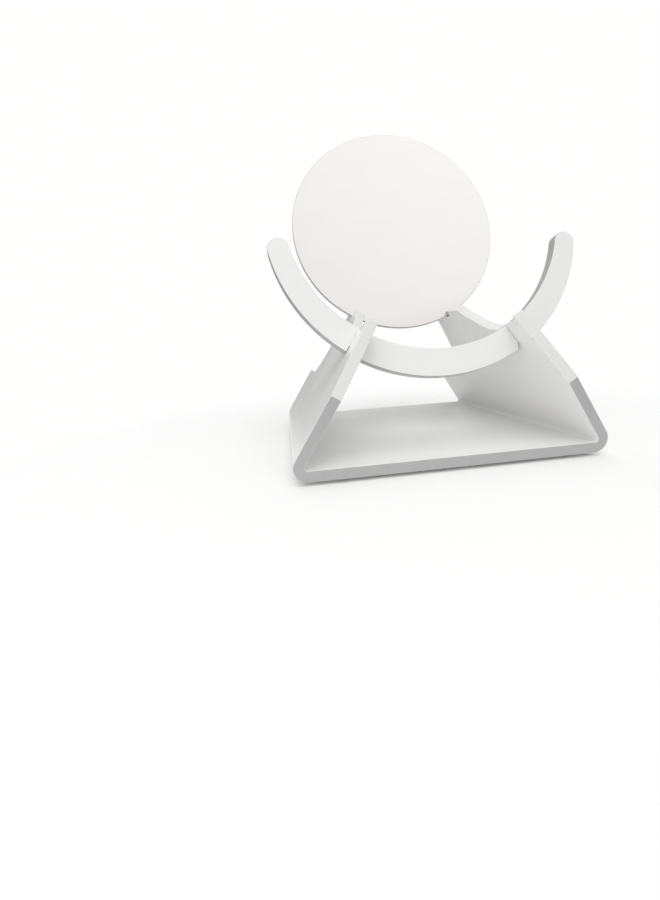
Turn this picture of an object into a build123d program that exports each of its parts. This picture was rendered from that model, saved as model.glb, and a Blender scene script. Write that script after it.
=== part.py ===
"""Tabletop mirror on a folded acrylic stand.

The stand is one sheet folded into a base and two walls that lean towards each other.  A flat
crescent and a round mirror drop into open slots cut in the tops of the walls, and four round
pads sit under the base.  Millimetres, +Z up, front towards -Y, origin on the tabletop under
the middle of the object.
"""
import os
from math import cos, radians, sin, sqrt, tan

from build123d import *

# ---------------------------------------------------------------- driving dimensions
BASE_WIDTH = 190.0        # across the fold lines at the tabletop
BASE_DEPTH = 170.0        # front edge to back edge
SHEET = 6.0               # acrylic sheet of the stand
WALL_ANGLE = 57.5         # slope of the walls from horizontal
FOLD_OUTER_R = 7.8        # outside radius of the two folds
FOOT_DIA = 10.0
FOOT_HEIGHT = 2.0
FOOT_ROUND = 0.8
FOOT_INSET_X = 19.0       # feet centres from the sides of the base
FOOT_INSET_Y = 18.0       # feet centres from the front and back edges
PLATE_LEAN = 16.0         # mirror and crescent lean back from vertical

MIRROR_DIA = 150.0
MIRROR_THICK = 3.0
MIRROR_BEVEL = 0.3
MIRROR_CENTRE_Z = 152.4   # centre of the mirror's front face
MIRROR_CENTRE_Y = 104.4   # the same, from the front edge of the base

ARC_OUTER_R = 94.3
ARC_INNER_R = 83.1
ARC_RISE = 5.0            # inner edge's centre lies this far above the outer edge's centre
ARC_THICK = 6.0
ARC_CENTRE_Z = 140.4
ARC_CENTRE_Y = 44.3
ARC_SPAN = 79.2           # each tip from straight down, in degrees

# clearances
SLOT_GAP = 0.25           # each side of a plate in its slot
NOTCH_GAP = 0.25          # each side of a wall in the crescent's notch
SEAT_GAP = 0.15           # under a plate that rests in its slot

# wall outline: depth from the front edge, and height up the outside slope
KINK_S = 52.5             # the front edge is square below this and leans back above it
NOTCH_DEPTH = 4.6         # crescent's notch, from its outer edge up to the slot floor
PRONG_RISE = 18.5         # tip of the prong above the crescent's slot floor
PRONG_WIDTH = 11.0        # tip of the prong to the crescent's front face
DIP_RISE = 9.6            # wall top just behind the crescent, above its slot floor
MIRROR_SLOT_DEPTH = 4.2   # lip in front of the mirror, above its slot floor
LIP_LENGTH = 17.5         # top of that lip, from front to back
HORN_RISE = 37.0          # top of the horn behind the mirror, above the slot floor
HORN_WIDTH = 18.0
TAIL_S = 57.0             # height of the wall at the back edge
TAIL_RUN = 36.0           # level part of the tail
MOUTH_DROP = 6.2          # corner at the mouth of the crescent's slot, below the prong's tip
MOUTH_FLARE = 1.0         # the outline meets a slot this far outside the plate that it holds
DIP_LEVEL = 2.5           # level stretch behind the crescent's slot, before the rise to the lip
LIP_FALL = 1.2            # fall of the lip from the mirror's slot to its front end
HORN_STEP = 0.5           # the horn starts this far above the lip
HORN_HEEL = 4.6           # the horn's back meets the tail's curve this far below the lip
KINK_ROUND = 4.0
TIP_ROUND = 0.8
TAIL_ROUND = 3.0
OUTLINE_LOW = 30.0        # all of the shaped outline lies above this height

a, lean = radians(WALL_ANGLE), radians(PLATE_LEAN)
y_front = -BASE_DEPTH / 2
z_base = FOOT_HEIGHT

os.makedirs("parts", exist_ok=True)

# ---------------------------------------------------------------- reference planes
# left wall: local x runs back, local y runs up the slope, normal points inwards
left_wall = Plane(origin=(-BASE_WIDTH / 2, y_front, z_base), x_dir=(0, 1, 0),
                  z_dir=(sin(a), 0, -cos(a)))
# leaning plates: local x across, local y up the plate, normal points to the front
plate_normal = (0, -cos(lean), sin(lean))
mirror_plane = Plane(origin=(0, y_front + MIRROR_CENTRE_Y, MIRROR_CENTRE_Z), x_dir=(1, 0, 0),
                     z_dir=plate_normal)
arc_plane = Plane(origin=(0, y_front + ARC_CENTRE_Y, ARC_CENTRE_Z), x_dir=(1, 0, 0),
                  z_dir=plate_normal)


def plate_y(centre_y, centre_z, s):
    """Distance from the front edge at which a leaning plate's front crosses the wall."""
    return centre_y + (z_base + s * sin(a) - centre_z) * tan(lean)


def rim_s(radius, centre_z, thick):
    """Height up the wall at which the lower rim of a leaning plate first touches the sheet."""
    heights = []
    for off in (0, SHEET):                      # outer face, inner face
        for back in (0, thick):                 # front rim, back rim
            x0 = -BASE_WIDTH / 2 + off * sin(a)
            v0 = (z_base - off * cos(a) - centre_z + back * sin(lean)) / cos(lean)
            qa = cos(a) ** 2 + (sin(a) / cos(lean)) ** 2
            qb = 2 * (x0 * cos(a) + v0 * sin(a) / cos(lean))
            qc = x0 ** 2 + v0 ** 2 - radius ** 2
            heights.append((-qb - sqrt(qb ** 2 - 4 * qa * qc)) / (2 * qa))
    return min(heights)


# ---------------------------------------------------------------- wall outline
arc_floor = rim_s(ARC_OUTER_R, ARC_CENTRE_Z, ARC_THICK) + NOTCH_DEPTH
mirror_floor = rim_s(MIRROR_DIA / 2, MIRROR_CENTRE_Z, MIRROR_THICK) - SEAT_GAP
tip_s, dip_s = arc_floor + PRONG_RISE, arc_floor + DIP_RISE
lip_s, horn_top_s = mirror_floor + MIRROR_SLOT_DEPTH, mirror_floor + HORN_RISE
arc_y = plate_y(ARC_CENTRE_Y, ARC_CENTRE_Z, dip_s)
lip_y = plate_y(MIRROR_CENTRE_Y, MIRROR_CENTRE_Z, lip_s)
tip_y = arc_y - PRONG_WIDTH
dip_y = arc_y + ARC_THICK / cos(lean) - MOUTH_FLARE
slope = tan(lean) * sin(a)
horn_r = HORN_WIDTH / 2
horn_front = lip_y + MIRROR_THICK / cos(lean) + SLOT_GAP
horn_top_y = horn_front + horn_r + (HORN_RISE - MIRROR_SLOT_DEPTH) * slope
back_y = horn_front + HORN_WIDTH - MOUTH_FLARE
tail_y = BASE_DEPTH - TAIL_RUN
SPARE = 20.0              # every cutter reaches this far past what it cuts
waste_height = horn_top_s + SPARE - OUTLINE_LOW


def between(start, end, *shares):
    """Points at the given shares of the way along and up from start to end."""
    return [(start[0] + u * (end[0] - start[0]), start[1] + v * (end[1] - start[1])) for u, v in shares]


THROUGH = 2.0             # cutters start this far outside the sheet and end as far inside it
with BuildSketch(left_wall.offset(-THROUGH)) as wall_waste_face:      # all that lies outside the outline
    with Locations((BASE_DEPTH / 2, OUTLINE_LOW + waste_height / 2)):
        Rectangle(BASE_DEPTH + SPARE, waste_height)
    with BuildLine():
        Polyline((0, OUTLINE_LOW), (0, KINK_S))
        kink, tip = (0, KINK_S), (tip_y, tip_s)
        ThreePointArc(kink, between(kink, tip, (0.47, 0.52))[0], tip)
        slot_front = (arc_y - MOUTH_FLARE, tip_s - MOUTH_DROP)
        ThreePointArc(tip, between(tip, slot_front, (0.22, 0.56))[0], slot_front)
        dip = (dip_y + DIP_LEVEL, dip_s)
        Line(slot_front, dip)
        lip = (lip_y - LIP_LENGTH, lip_s - LIP_FALL)
        Spline(dip, *between(dip, lip, (0.35, 0.1), (0.53, 0.28), (0.76, 0.6)), lip,
               tangents=[(1, -0.12), (0.62, 0.9)])
        lip_back, horn_foot = (lip_y + HORN_STEP, lip_s), (horn_front, lip_s + HORN_STEP)
        shoulder_front = (horn_top_y - horn_r, horn_top_s - horn_r)
        shoulder_back = (horn_top_y + horn_r, horn_top_s - horn_r)
        back, tail = (back_y, lip_s - HORN_HEEL), (tail_y, TAIL_S)
        Polyline(lip, lip_back, horn_foot, shoulder_front)
        ThreePointArc(shoulder_front, (horn_top_y, horn_top_s), shoulder_back)
        Line(shoulder_back, back)
        Spline(back, *between(back, tail, (0.07, 0.29), (0.22, 0.6), (0.52, 0.87)), tail,
               tangents=[(-0.02, -1), (1, 0)])
        Polyline(tail, (BASE_DEPTH, TAIL_S), (BASE_DEPTH, OUTLINE_LOW), (0, OUTLINE_LOW))
    make_face(mode=Mode.SUBTRACT)
    for corner, radius in (((BASE_DEPTH, TAIL_S), TAIL_ROUND), (kink, KINK_ROUND), (tip, TIP_ROUND)):
        fillet(wall_waste_face.vertices().sort_by_distance(corner)[0], radius)

with BuildPart() as wall_waste:                      # cut square to the sheet
    extrude(wall_waste_face.sketch, amount=SHEET + 2 * THROUGH)


def slot_cutter(plane, thick, floor_s):
    """Slab round a leaning plate, kept above the slot's floor inside the left wall."""
    height = horn_top_s + SPARE - floor_s
    with BuildPart() as cut:
        with BuildSketch(plane.offset(SLOT_GAP)):
            with Locations((-BASE_WIDTH / 2, 0)):
                Rectangle(BASE_WIDTH, 2 * BASE_WIDTH)
        extrude(amount=-(thick + 2 * SLOT_GAP))
        with BuildSketch(left_wall.offset(-THROUGH)):
            with Locations((BASE_DEPTH / 2, floor_s + height / 2)):
                Rectangle(BASE_DEPTH + SPARE, height)
        extrude(amount=SHEET + 2 * THROUGH, mode=Mode.INTERSECT)
    return cut.part


arc_slot = slot_cutter(arc_plane, ARC_THICK, arc_floor)
mirror_slot = slot_cutter(mirror_plane, MIRROR_THICK, mirror_floor)

# ---------------------------------------------------------------- folded stand
TRIM = 1.0                # sheet above the horns' tops, all of it cut away
height = (horn_top_s + TRIM) * sin(a)
inner_height = height + TRIM
half = BASE_WIDTH / 2
inset = SHEET * (1 + cos(a)) / sin(a)    # inner bottom corner from the outer one
inner_half = half - inset
with BuildPart() as stand:
    with BuildSketch(Plane.XZ.offset(-y_front)):
        with BuildLine():
            Polyline((-half, z_base), (half, z_base),
                     (half - height / tan(a), z_base + height),
                     (-half + height / tan(a), z_base + height), close=True)
        make_face()
        with BuildLine():
            top_half = inner_half - (inner_height - SHEET) / tan(a)
            Polyline((-inner_half, z_base + SHEET), (inner_half, z_base + SHEET),
                     (top_half, z_base + inner_height), (-top_half, z_base + inner_height), close=True)
        make_face(mode=Mode.SUBTRACT)
    extrude(amount=-BASE_DEPTH)
    outer = stand.edges().filter_by(Axis.Y).group_by(Axis.Z)[0]
    inner = stand.edges().filter_by(Axis.Y).group_by(Axis.Z)[1]
    fillet(outer, FOLD_OUTER_R)
    fillet(inner, FOLD_OUTER_R - SHEET)
    for cutter in (wall_waste.part, arc_slot, mirror_slot):
        add(cutter, mode=Mode.SUBTRACT)
        add(mirror(cutter, about=Plane.YZ), mode=Mode.SUBTRACT)
stand.part.label = "stand"

# ---------------------------------------------------------------- crescent
span = radians(ARC_SPAN)
tip_inner = sqrt(ARC_INNER_R ** 2 - (ARC_RISE * sin(span)) ** 2) - ARC_RISE * cos(span)
tip_r = (ARC_OUTER_R - tip_inner) / 2
tip_mid = (ARC_OUTER_R + tip_inner) / 2


def section(s, off):
    """A point of the left wall's cross-section, off inwards from its outer face."""
    return (-BASE_WIDTH / 2 + s * cos(a) + off * sin(a), z_base + s * sin(a) - off * cos(a))


notch_outer = section(arc_floor + SEAT_GAP, -NOTCH_GAP)
notch_inner = section(arc_floor + SEAT_GAP, SHEET + NOTCH_GAP)
NOTCH_DROP = 15.0         # deeper than the notch, so that it opens through the lower rim
with BuildPart() as arc:
    with BuildSketch(arc_plane):
        Circle(ARC_OUTER_R)
        with Locations((0, ARC_RISE)):
            Circle(ARC_INNER_R, mode=Mode.SUBTRACT)
        with BuildLine():
            far = 3 * ARC_OUTER_R
            dx, dy = sin(span), -cos(span)
            Polyline((0, 0), (far * dx, far * dy), (far, far), (-far, far), (-far * dx, far * dy), close=True)
        make_face(mode=Mode.SUBTRACT)
        with Locations((tip_mid * dx, tip_mid * dy), (-tip_mid * dx, tip_mid * dy)):
            Circle(tip_r)
    extrude(amount=-ARC_THICK)
    # notches that straddle the walls below the slot floor; the inner side is upright, so the
    # crescent lifts straight out past the sloping wall
    with BuildPart(mode=Mode.PRIVATE) as notch:
        with BuildSketch(Plane.XZ.offset(-y_front)):
            with BuildLine():
                Polyline(notch_outer, notch_inner, (notch_inner[0], notch_inner[1] - NOTCH_DROP),
                         (notch_outer[0] - NOTCH_DROP / tan(a), notch_outer[1] - NOTCH_DROP), close=True)
            make_face()
        extrude(amount=-BASE_DEPTH)
    add(notch.part, mode=Mode.SUBTRACT)
    add(mirror(notch.part, about=Plane.YZ), mode=Mode.SUBTRACT)
arc.part.label = "cradle_arc"

# ---------------------------------------------------------------- mirror
with BuildPart() as mirror_disc:
    with BuildSketch(mirror_plane):
        Circle(MIRROR_DIA / 2)
    extrude(amount=-MIRROR_THICK)
    chamfer(mirror_disc.edges().filter_by(GeomType.CIRCLE), MIRROR_BEVEL)
mirror_disc.part.label = "mirror_disc"

# ---------------------------------------------------------------- feet
feet = {}
foot_x, foot_front, foot_back = BASE_WIDTH / 2 - FOOT_INSET_X, FOOT_INSET_Y, BASE_DEPTH - FOOT_INSET_Y
for name, x, y in (("foot_front_left", -foot_x, foot_front), ("foot_front_right", foot_x, foot_front),
                   ("foot_back_left", -foot_x, foot_back), ("foot_back_right", foot_x, foot_back)):
    with BuildPart() as foot:
        with BuildSketch(Plane((x, y_front + y, 0))):
            Circle(FOOT_DIA / 2)
        extrude(amount=FOOT_HEIGHT)
        fillet(foot.edges().filter_by(GeomType.CIRCLE).group_by(Axis.Z)[0], FOOT_ROUND)
    foot.part.label = name
    feet[name] = foot.part

# ---------------------------------------------------------------- export
export_step(stand.part, "parts/stand.step")
export_step(arc.part, "parts/cradle_arc.step")
export_step(mirror_disc.part, "parts/mirror_disc.step")
for name, solid in feet.items():
    export_step(solid, f"parts/{name}.step")
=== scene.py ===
"""Tabletop mirror on a folded acrylic stand: the looks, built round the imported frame.

The stand and the crescent start from their CAD nodes' own meshes, welded and cleaned.  Their cut
edges get a small polished round, faces and cut edges get materials of their own, and a map of the
flat sheet steers the grain, so that the cutter's lines run straight through the thickness.  The
mirror and the pads are turned.  Metres, +Z up, front towards -Y.
"""

import math

import bmesh
import bpy
from mathutils import Matrix, Vector


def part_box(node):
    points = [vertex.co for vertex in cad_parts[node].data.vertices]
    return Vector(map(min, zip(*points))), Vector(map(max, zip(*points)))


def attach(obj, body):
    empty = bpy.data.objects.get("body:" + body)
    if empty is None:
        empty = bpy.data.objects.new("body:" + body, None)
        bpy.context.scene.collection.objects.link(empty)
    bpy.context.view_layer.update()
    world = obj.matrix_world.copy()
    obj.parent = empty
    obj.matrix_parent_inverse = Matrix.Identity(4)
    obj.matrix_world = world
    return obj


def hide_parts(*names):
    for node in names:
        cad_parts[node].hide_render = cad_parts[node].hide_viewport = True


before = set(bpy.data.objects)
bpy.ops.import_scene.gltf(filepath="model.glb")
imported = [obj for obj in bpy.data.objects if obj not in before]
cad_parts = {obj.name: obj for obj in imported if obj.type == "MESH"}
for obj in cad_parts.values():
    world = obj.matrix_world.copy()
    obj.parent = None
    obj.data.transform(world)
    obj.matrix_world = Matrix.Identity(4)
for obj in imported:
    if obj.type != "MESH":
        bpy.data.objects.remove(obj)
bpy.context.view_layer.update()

MM = 0.001
STAND, ARC, DISC = "stand_body", "crescent_body", "mirror_body"

# ------------------------------------------------------------------ what the CAD says
BASE_WIDTH, BASE_DEPTH = 190.0 * MM, 170.0 * MM
FOLD_R = 7.8 * MM             # outside of the folds
FOOT_HEIGHT = 2.0 * MM
WALL_ANGLE = math.radians(57.5)
PLATE_LEAN = math.radians(16.0)
MIRROR_R, MIRROR_THICK = 75.0 * MM, 3.0 * MM

# ------------------------------------------------------------------ sizes of the finish
EDGE_ROUND = 0.35 * MM        # polished corners of the sheet
EDGE_SEGMENTS = 3
MIRROR_ROUND = 0.3 * MM
PAINT = 0.45 * MM             # the paint on the mirror's back, and how it ends
PAINT_INSET = 0.35 * MM
PAINT_ROUND = 0.15 * MM
PAINT_SINK = 0.02 * MM        # how far the paint reaches into the sheet, so that no gap shows
DISC_STEPS = 256
PAD_R, PAD_CORNER = 4.97 * MM, 1.2 * MM
PAD_STEPS = 64
GLUE_R, GLUE_HEIGHT = 4.7 * MM, 0.22 * MM

# ------------------------------------------------------------------ tests on the CAD's meshes
WELD = 1e-6
COPLANAR = math.radians(0.4)  # faces that turn less than this against each other become one
SHARP = math.radians(28)      # edges that turn more than this get a round
ON_PLANE = 0.01 * MM
FACES_ALONG = 0.8             # cosine, from which a face counts as looking along a direction
TURNED_AWAY = 0.3             # cosine towards front or back, from which a face is a cut edge
ROUND, CUT, FACE = 0, 1, 2    # a rounded corner, a cut edge of the sheet, a side of the sheet

plate_normal = Vector((0, -math.cos(PLATE_LEAN), math.sin(PLATE_LEAN)))   # out of the front face
plate_up = Vector((0, math.sin(PLATE_LEAN), math.cos(PLATE_LEAN)))
wall_up = Vector((math.cos(WALL_ANGLE), 0, math.sin(WALL_ANGLE)))         # left wall
wall_in = Vector((math.sin(WALL_ANGLE), 0, -math.cos(WALL_ANGLE)))
fold_centre = Vector((-BASE_WIDTH / 2 + FOLD_R * (1 + math.cos(WALL_ANGLE)) / math.sin(WALL_ANGLE),
                      0, FOOT_HEIGHT + FOLD_R))


# ------------------------------------------------------------------ node helpers
class Nodes:
    """A short way to write a node tree.

    nodes("TexNoise", Vector=uv, Scale=30.0) adds that node.  Keys are socket names, with _ for a
    space.  A key that starts with _ is a setting of the node.  An output as the value is linked.
    """

    def __init__(self, tree):
        self.tree = tree

    def feed(self, value, socket):
        if isinstance(value, bpy.types.NodeSocket):
            self.tree.links.new(value, socket)
        else:
            socket.default_value = value

    def __call__(self, kind, **values):
        node = self.tree.nodes.new("ShaderNode" + kind)
        for key, value in values.items():
            if key.startswith("_"):
                setattr(node, key[1:], value)
            else:
                self.feed(value, node.inputs[key.replace("_", " ")])
        return node

    def math(self, operation, first, second):
        node = self("Math", _operation=operation)
        self.feed(first, node.inputs[0])
        self.feed(second, node.inputs[1])
        return node.outputs[0]

    def blend(self, first, second, share):
        """The first value by its share, and the second by the rest."""
        return self.math("ADD", self.math("MULTIPLY", first, share),
                         self.math("MULTIPLY", second, 1 - share))

    def ramp(self, factor, *stops):
        """A colour ramp.  Its stops are (position, value), and a value is a grey or a colour."""
        node = self("ValToRGB", Fac=factor)
        while len(node.color_ramp.elements) < len(stops):
            node.color_ramp.elements.new(0.5)
        for element, (position, value) in zip(node.color_ramp.elements, stops):
            colour = (value,) * 3 if isinstance(value, float) else value
            element.position = position
            element.color = (*colour, 1)
        return node.outputs[0]

    def noise(self, vector, per_metre, detail, roughness=0.5):
        node = self("TexNoise", Vector=vector, Scale=per_metre, Detail=detail, Roughness=roughness)
        return node.outputs["Fac"]

    def stretched(self, vector, first, second):
        return self("Mapping", Vector=vector, Scale=(first, second, 1.0)).outputs[0]

    def bump(self, height, depth, strength=1.0, **on):
        return self("Bump", Strength=strength, Distance=depth, Height=height, **on).outputs[0]


def material(name):
    """A new material: the material, its nodes and its shader."""
    m = bpy.data.materials.new(name)
    m.use_nodes = True
    m.node_tree.nodes.clear()
    nodes = Nodes(m.node_tree)
    shader = nodes("BsdfPrincipled")
    nodes("OutputMaterial", Surface=shader.outputs[0])
    return m, nodes, shader


def dress(nodes, shader, colour, roughness, normal):
    nodes.feed(colour, shader.inputs["Base Color"])
    nodes.feed(roughness, shader.inputs["Roughness"])
    nodes.feed(normal, shader.inputs["Normal"])


def translucent(shader, weight, radius):
    shader.inputs["Subsurface Weight"].default_value = weight
    shader.inputs["Subsurface Radius"].default_value = radius


def on_sheet(nodes):
    """The map of the flat sheet, in metres."""
    return nodes("UVMap", _uv_map="sheet").outputs[0]


def scaled(colour, share):
    return tuple(channel * share for channel in colour)


# ------------------------------------------------------------------ materials
ACRYLIC_IOR = 1.49
CLOUD_SHADE = 0.985           # darkest cloud in a face, as a share of its colour
LINE_SHADE = 0.965            # darkest cutter line in an edge, as a share of its colour


def acrylic_face(name, colour):
    """Cast white sheet: an even gloss, faint clouds and specks in the white, hardly rippled."""
    m, nodes, shader = material(name)
    sheet = on_sheet(nodes)
    clouds = nodes.noise(sheet, 18.0, 3.0)
    specks = nodes.noise(sheet, 900.0, 2.0)
    smears = nodes.noise(nodes.stretched(sheet, 1.0, 1.6), 22.0, 2.0)
    ripple = nodes.bump(nodes.noise(sheet, 30.0, 1.0), 0.01 * MM)
    skin = nodes.bump(nodes.noise(sheet, 700.0, 3.0), 0.0012 * MM, 0.5, Normal=ripple)
    white = nodes.ramp(nodes.blend(clouds, specks, 0.7), (0.25, scaled(colour, CLOUD_SHADE)), (0.7, colour))
    dress(nodes, shader, white, nodes.ramp(smears, (0.3, 0.24), (0.7, 0.27)), skin)
    shader.inputs["IOR"].default_value = ACRYLIC_IOR
    translucent(shader, 0.12, (0.004, 0.004, 0.0036))
    return m


def acrylic_edge(name, colour):
    """A cut edge: the cutter's fine lines through the thickness."""
    m, nodes, shader = material(name)
    sheet = on_sheet(nodes)
    lines = nodes.noise(sheet, 1400.0, 2.0)
    waves = nodes.noise(sheet, 160.0, 3.0)
    both = nodes.blend(lines, waves, 0.6)
    white = nodes.ramp(both, (0.3, scaled(colour, LINE_SHADE)), (0.68, colour))
    dress(nodes, shader, white, nodes.ramp(lines, (0.3, 0.26), (0.7, 0.36)),
          nodes.bump(both, 0.006 * MM, 0.5))
    shader.inputs["IOR"].default_value = ACRYLIC_IOR
    translucent(shader, 0.1, (0.003, 0.003, 0.003))
    return m


def mirror_silver():
    """The mirror's face: bright, faintly warm silver with a little wiping haze."""
    m, nodes, shader = material("mirror_silver")
    sheet = on_sheet(nodes)
    haze = nodes.noise(nodes.stretched(sheet, 1.0, 2.2), 26.0, 5.0, 0.6)
    silver = nodes.ramp(haze, (0.3, (0.91, 0.884, 0.878)), (0.75, (0.93, 0.905, 0.90)))
    dress(nodes, shader, silver, nodes.ramp(haze, (0.35, 0.02), (0.8, 0.06)),
          nodes.bump(nodes.noise(sheet, 14.0, 1.0), 0.02 * MM, 0.5))
    shader.inputs["Metallic"].default_value = 1.0
    return m


def mirror_rim():
    """The polished rim of the mirror's sheet: grey, with fine lines."""
    m, nodes, shader = material("mirror_rim")
    lines = nodes.noise(on_sheet(nodes), 1600.0, 2.0)
    grey = nodes.ramp(lines, (0.3, (0.38, 0.39, 0.39)), (0.7, (0.44, 0.45, 0.45)))
    dress(nodes, shader, grey, nodes.ramp(lines, (0.3, 0.08), (0.7, 0.16)),
          nodes.bump(lines, 0.02 * MM, 0.5))
    shader.inputs["IOR"].default_value = ACRYLIC_IOR
    shader.inputs["Coat Weight"].default_value = 0.5
    return m


def backing_paint():
    """The painted back: white, with the fine tooth that a roller leaves."""
    m, nodes, shader = material("mirror_backing")
    sheet = on_sheet(nodes)
    tooth = nodes.noise(sheet, 1100.0, 3.0, 0.6)
    clouds = nodes.noise(sheet, 30.0, 3.0)
    white = nodes.ramp(clouds, (0.3, (0.74, 0.74, 0.73)), (0.7, (0.79, 0.79, 0.78)))
    dress(nodes, shader, white, nodes.ramp(tooth, (0.3, 0.45), (0.7, 0.6)),
          nodes.bump(tooth, 0.04 * MM, 0.6))
    return m


def pad_rubber():
    """Soft clear pad: milky, satin, lightly dusty."""
    m, nodes, shader = material("pad_clear")
    dust = nodes.noise(nodes("TexCoord").outputs["Object"], 1500.0, 4.0, 0.6)
    milky = nodes.ramp(dust, (0.35, (0.62, 0.64, 0.64)), (0.7, (0.74, 0.76, 0.76)))
    dress(nodes, shader, milky, nodes.ramp(dust, (0.3, 0.25), (0.7, 0.45)),
          nodes.bump(dust, 0.03 * MM, 0.5))
    shader.inputs["IOR"].default_value = 1.5
    translucent(shader, 0.3, (0.002, 0.002, 0.002))
    return m


# ------------------------------------------------------------------ maps of the flat sheet
def fold_map(p):
    """Where a point of the stand lies on the flat sheet: depth, and distance round the fold."""
    q = Vector((-abs(p.x), 0, p.z)) - fold_centre
    turn = math.pi - WALL_ANGLE                       # how far the sheet turns in a fold
    if q.x >= 0 and q.z < 0:
        s = -q.x
    elif q.dot(wall_up) > 0:
        s = FOLD_R * turn + q.dot(wall_up)
    else:
        s = FOLD_R * (math.atan2(-q.x, -q.z) % (2 * math.pi))
    return p.y, math.copysign(1, p.x) * (BASE_WIDTH / 2 + s)


def plate_map(p):
    return p.x, p.dot(plate_up)


# ------------------------------------------------------------------ which face is what
def stand_face(face):
    """True for the two big sides of the folded sheet, false for its cut edges."""
    normal = face.normal
    centre = face.calc_center_median()
    if abs(normal.y) > TURNED_AWAY:
        return False
    if centre.z < FOOT_HEIGHT + 2 * FOLD_R:
        return True
    as_left = Vector((normal.x * math.copysign(1, -centre.x), 0, normal.z))
    return abs(as_left.dot(wall_in)) > FACES_ALONG


def plate_face(face):
    """True for the front and back of a leaning plate, false for its cut edges."""
    return abs(face.normal.dot(plate_normal)) > FACES_ALONG


def is_straight(face):
    """True for the straight front and back edges of the stand, short of the shaped outline: the edges that
    get the painted shade.
    """
    return all(abs(abs(v.co.y) - BASE_DEPTH / 2) < ON_PLANE for v in face.verts)


# ------------------------------------------------------------------ mesh helpers
def finished(bm, kind, name, materials, mapped):
    """Make the bmesh an object.  Each of its corners is shaded by the flattest thing that meets
    there, by area: the sheet's sides if there are any, else its cut edges, else the rounds."""
    normals = []
    for v in bm.verts:
        first = max(f[kind] for f in v.link_faces)
        total = sum((f.normal * f.calc_area() for f in v.link_faces if f[kind] == first), Vector())
        normals.append(total.normalized())
    for f in bm.faces:
        f.smooth = True
    bmesh.ops.triangulate(bm, faces=bm.faces, quad_method="BEAUTY", ngon_method="BEAUTY")
    me = bpy.data.meshes.new(name)
    bm.to_mesh(me)
    bm.free()
    me.normals_split_custom_set_from_vertices(normals)
    for m in materials:
        me.materials.append(m)
    if mapped:
        layer = me.uv_layers.new(name="sheet")
        for loop in me.loops:
            layer.data[loop.index].uv = mapped(me.vertices[loop.vertex_index].co)
    o = bpy.data.objects.new(name, me)
    bpy.context.scene.collection.objects.link(o)
    return o


def from_cad(node, name, is_face, materials, mapped):
    """A cleaned copy of a CAD node with rounded edges.  The materials are for the sheet's sides, for its cut
    edges and, where there is a third, for the straight front and back edges, whose darker grey is painted
    shade."""
    bm = bmesh.new()
    bm.from_mesh(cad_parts[node].data)
    bmesh.ops.remove_doubles(bm, verts=bm.verts, dist=WELD)
    bmesh.ops.dissolve_limit(bm, angle_limit=COPLANAR, use_dissolve_boundaries=False,
                             verts=bm.verts, edges=bm.edges, delimit=set())
    kind = bm.faces.layers.int.new("kind")
    for f in bm.faces:
        f[kind] = FACE if is_face(f) else CUT
        f.material_index = 0 if f[kind] == FACE else 1
        # the straight front and back edges take the third material, the one with painted shade
        if f[kind] == CUT and len(materials) > 2 and is_straight(f):
            f.material_index = 2
    sharp = [e for e in bm.edges if len(e.link_faces) == 2 and e.calc_face_angle() > SHARP]
    rounds = bmesh.ops.bevel(bm, geom=sharp, offset=EDGE_ROUND, offset_type="OFFSET",
                             segments=EDGE_SEGMENTS, profile=0.5, affect="EDGES",
                             clamp_overlap=True, material=-1)
    for f in rounds["faces"]:
        f[kind] = ROUND
    return finished(bm, kind, name, materials, mapped)


def lathe(name, profile, steps, to_world, materials, mapped=None):
    """A closed turned solid.  The profile runs from the axis out and back to it, and each point
    is a radius, a height and the material of the band that starts there."""
    bm = bmesh.new()
    kind = bm.faces.layers.int.new("kind")
    turns = [2 * math.pi * k / steps for k in range(steps)]
    rings = []
    for r, h, _ in profile:
        around = turns if r > 0 else [0.0]
        points = [Vector((r * math.cos(t), r * math.sin(t), h)) for t in around]
        rings.append([bm.verts.new(to_world @ point) for point in points])
    for (low, high), (_, _, slot) in zip(zip(rings, rings[1:]), profile):
        for k in range(steps):
            j = (k + 1) % steps
            loop = [low[k % len(low)], low[j % len(low)], high[j % len(high)], high[k % len(high)]]
            bm.faces.new(list(dict.fromkeys(loop))).material_index = slot
    bmesh.ops.recalc_face_normals(bm, faces=bm.faces)
    return finished(bm, kind, name, materials, mapped)


# ------------------------------------------------------------------ profiles
def quarter(steps):
    """Sine and cosine of the angles of a quarter turn."""
    angles = [math.pi / 2 * k / steps for k in range(steps + 1)]
    return [(math.sin(t), math.cos(t)) for t in angles]


def disc_profile(radius, bottom, top, corner, steps, rim, upper):
    """A disc with round corners.  Its lower face has the rim's material."""
    centre, low, high = radius - corner, bottom + corner, top - corner
    middle = (radius * 0.9, radius * 0.5)             # rings that keep the flat faces' bands short
    under = [(0, bottom, rim), *((r, bottom, rim) for r in reversed(middle))]
    rise = [(centre + corner * s, low - corner * c, rim) for s, c in quarter(steps)]
    fall = [(centre + corner * c, high + corner * s, rim) for s, c in quarter(steps)]
    fall[-1] = (*fall[-1][:2], upper)
    return [*under, *rise, *fall, *((r, top, upper) for r in middle), (0, top, upper)]


def pad_profile(steps):
    """A pad with a round lower corner, on a narrower disc of glue film."""
    centre, film = PAD_R - PAD_CORNER, FOOT_HEIGHT - GLUE_HEIGHT
    corner = [(centre + PAD_CORNER * s, PAD_CORNER - PAD_CORNER * c, 0) for s, c in quarter(steps)]
    return [(0, 0, 0), *corner, (PAD_R, film, 0), (GLUE_R, film, 0), (GLUE_R, FOOT_HEIGHT, 0),
            (0, FOOT_HEIGHT, 0)]


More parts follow.
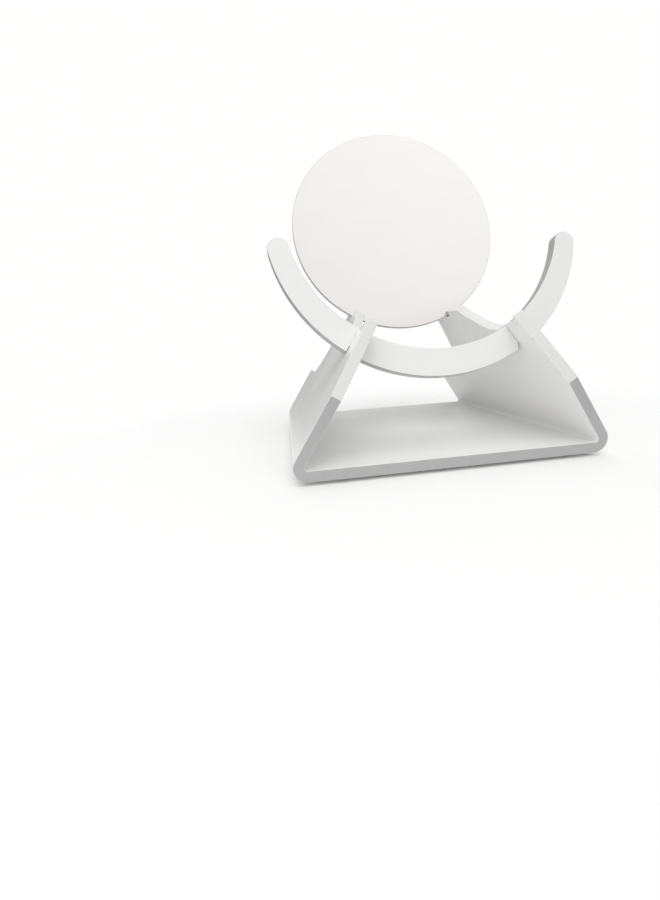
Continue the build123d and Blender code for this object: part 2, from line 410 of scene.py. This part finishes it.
# ------------------------------------------------------------------ stand and crescent
face_white = acrylic_face("white_acrylic_face", (0.91, 0.908, 0.90))
edge_bright = acrylic_edge("white_acrylic_edge", (0.84, 0.84, 0.83))
# painted shade: the straight front and back cut edges are about half as bright as the outline edges, standing
# in for the shade on these upright edges
edge_painted_shade = acrylic_edge("acrylic_edge_painted_shade", (0.475, 0.48, 0.475))
arc_white = acrylic_face("arc_acrylic_face", (0.90, 0.90, 0.893))
# the crescent's cut edges: the greyer look of cut acrylic, darkened further with painted shade to about half
# the face's white
arc_edge_grey_and_shade = acrylic_edge("arc_acrylic_edge_grey_and_shade", (0.46, 0.465, 0.46))

stand = from_cad("stand", "folded_stand", stand_face, (face_white, edge_bright, edge_painted_shade), fold_map)
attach(stand, STAND)
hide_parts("stand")

arc = from_cad("cradle_arc", "crescent_plate", plate_face, (arc_white, arc_edge_grey_and_shade), plate_map)
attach(arc, ARC)
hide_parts("cradle_arc")

# ------------------------------------------------------------------ mirror
low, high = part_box("mirror_disc")
disc_back = (low + high) / 2 - plate_normal * MIRROR_THICK / 2
disc_turn = Matrix((Vector((1, 0, 0)), plate_up, plate_normal)).transposed().to_4x4()
disc_place = Matrix.Translation(disc_back) @ disc_turn
sheet_shape = disc_profile(MIRROR_R, PAINT, MIRROR_THICK, MIRROR_ROUND, steps=4, rim=1, upper=0)
paint_shape = disc_profile(MIRROR_R - PAINT_INSET, 0.0, PAINT + PAINT_SINK, PAINT_ROUND,
                           steps=3, rim=0, upper=0)
glass = lathe("mirror_plate", sheet_shape, DISC_STEPS, disc_place, (mirror_silver(), mirror_rim()), plate_map)
backing = lathe("mirror_back", paint_shape, DISC_STEPS, disc_place, (backing_paint(),), plate_map)
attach(glass, DISC)
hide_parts("mirror_disc")
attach(backing, DISC)

# ------------------------------------------------------------------ pads
pad = pad_rubber()
for node in ("foot_front_left", "foot_front_right", "foot_back_left", "foot_back_right"):
    low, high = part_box(node)
    at = Matrix.Translation(((low.x + high.x) / 2, (low.y + high.y) / 2, 0))
    piece = lathe(node.replace("foot", "pad"), pad_profile(steps=8), PAD_STEPS, at, (pad,))
    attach(piece, STAND)
    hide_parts(node)

# ------------------------------------------------------------------ floor
FLOOR_R = 1.6
FADE_FROM, FADE_TO = 0.10, 0.36   # the floor melts into the studio between these radii

floor_mat, nodes, shader = material("studio_floor")
shader.inputs["Base Color"].default_value = (0.93, 0.93, 0.925, 1)
shader.inputs["Roughness"].default_value = 0.9
shader.inputs["Specular IOR Level"].default_value = 0.1
away = nodes("VectorMath", _operation="LENGTH", Vector=nodes("TexCoord").outputs["Object"])
fade = nodes("MapRange", Value=away.outputs["Value"], From_Min=FADE_FROM, From_Max=FADE_TO,
             _interpolation_type="SMOOTHSTEP")
melt = nodes("MixShader", Fac=fade.outputs[0])
nodes.feed(shader.outputs[0], melt.inputs[1])
nodes.feed(nodes("BsdfTransparent").outputs[0], melt.inputs[2])
nodes.feed(melt.outputs[0], floor_mat.node_tree.nodes["Material Output"].inputs["Surface"])
bpy.ops.mesh.primitive_circle_add(vertices=96, radius=FLOOR_R, fill_type="NGON", location=(0, 0, 0))
floor = bpy.context.object
floor.name = "studio_floor"
floor.data.materials.append(floor_mat)

# ------------------------------------------------------------------ studio light
MORE_RIGHT, MORE_BACK = 0.28, -0.05   # how much brighter the studio is on the right, at the back
# the studio from straight down (0) past the horizon (0.5) to straight up (1), and its brightness
SKY = ((0.0, 0.80), (0.45, 0.40), (0.5, 0.22), (0.62, 0.32), (0.70, 0.52), (0.785, 0.82),
       (0.865, 0.885), (0.93, 0.945), (1.0, 1.0))

world = bpy.data.worlds.new("studio")
bpy.context.scene.world = world
world.use_nodes = True
world.node_tree.nodes.clear()
nodes = Nodes(world.node_tree)
towards = nodes("SeparateXYZ", Vector=nodes("TexCoord").outputs["Generated"]).outputs
sky = nodes.ramp(nodes.math("ADD", nodes.math("MULTIPLY", towards["Z"], 0.5), 0.5), *SKY)
side = nodes.math("ADD", nodes.math("MULTIPLY", towards["X"], MORE_RIGHT),
                  nodes.math("MULTIPLY", towards["Y"], MORE_BACK))
light = nodes("Background", Color=sky, Strength=nodes.math("ADD", side, 1.0))
white = nodes("Background", Color=(1, 1, 0.995, 1), Strength=1.0)
shown = nodes("MixShader", Fac=nodes("LightPath").outputs["Is Camera Ray"])
nodes.feed(light.outputs[0], shown.inputs[1])
nodes.feed(white.outputs[0], shown.inputs[2])
nodes("OutputWorld", Surface=shown.outputs[0])


def softbox(name, at, aim, size, power):
    """A soft panel of light, aimed at a point, that mirrors don't show."""
    lamp = bpy.data.lights.new(name, "AREA")
    lamp.shape = "RECTANGLE"
    lamp.size, lamp.size_y = size
    lamp.energy = power
    o = bpy.data.objects.new(name, lamp)
    o.location = at
    o.rotation_euler = (Vector(aim) - Vector(at)).to_track_quat("-Z", "Y").to_euler()
    o.visible_glossy = False
    bpy.context.scene.collection.objects.link(o)


softbox("overhead", (-0.06, -0.30, 1.1), (0, 0, 0.08), (0.9, 0.9), 3.6)
softbox("low_fill", (-0.6, -0.6, 0.14), (0.05, 0, 0.06), (0.8, 0.5), 1.8)

# ------------------------------------------------------------------ camera
# in front and a little to the left, at a third of the object's height, with a close, wide view
CAMERA_AT = (-0.08745, -0.26058, 0.06873)
VIEW_YAW, VIEW_PITCH, VIEW_ROLL = math.radians(7.18), math.radians(11.08), math.radians(-3.47)
SENSOR, LENS = 36.0, 14.456   # millimetres; the sensor's width is the longer side of the frame
SHIFT_X, SHIFT_Y = -0.0064, -0.0346
NEAR, FAR = 0.01, 20.0

forward = Vector((math.sin(VIEW_YAW) * math.cos(VIEW_PITCH), math.cos(VIEW_YAW) * math.cos(VIEW_PITCH),
                  -math.sin(VIEW_PITCH)))
level = Vector((math.cos(VIEW_YAW), -math.sin(VIEW_YAW), 0))
above = level.cross(forward)
right = level * math.cos(VIEW_ROLL) + above * math.sin(VIEW_ROLL)
up = above * math.cos(VIEW_ROLL) - level * math.sin(VIEW_ROLL)
cam_data = bpy.data.cameras.new("camera")
cam_data.sensor_width = SENSOR
cam_data.lens = LENS
cam_data.shift_x, cam_data.shift_y = SHIFT_X, SHIFT_Y
cam_data.clip_start, cam_data.clip_end = NEAR, FAR
cam = bpy.data.objects.new("camera", cam_data)
bpy.context.scene.collection.objects.link(cam)
cam.matrix_world = Matrix.Translation(CAMERA_AT) @ Matrix((right, up, -forward)).transposed().to_4x4()
bpy.context.scene.camera = cam
bpy.context.scene.view_settings.view_transform = "Standard"
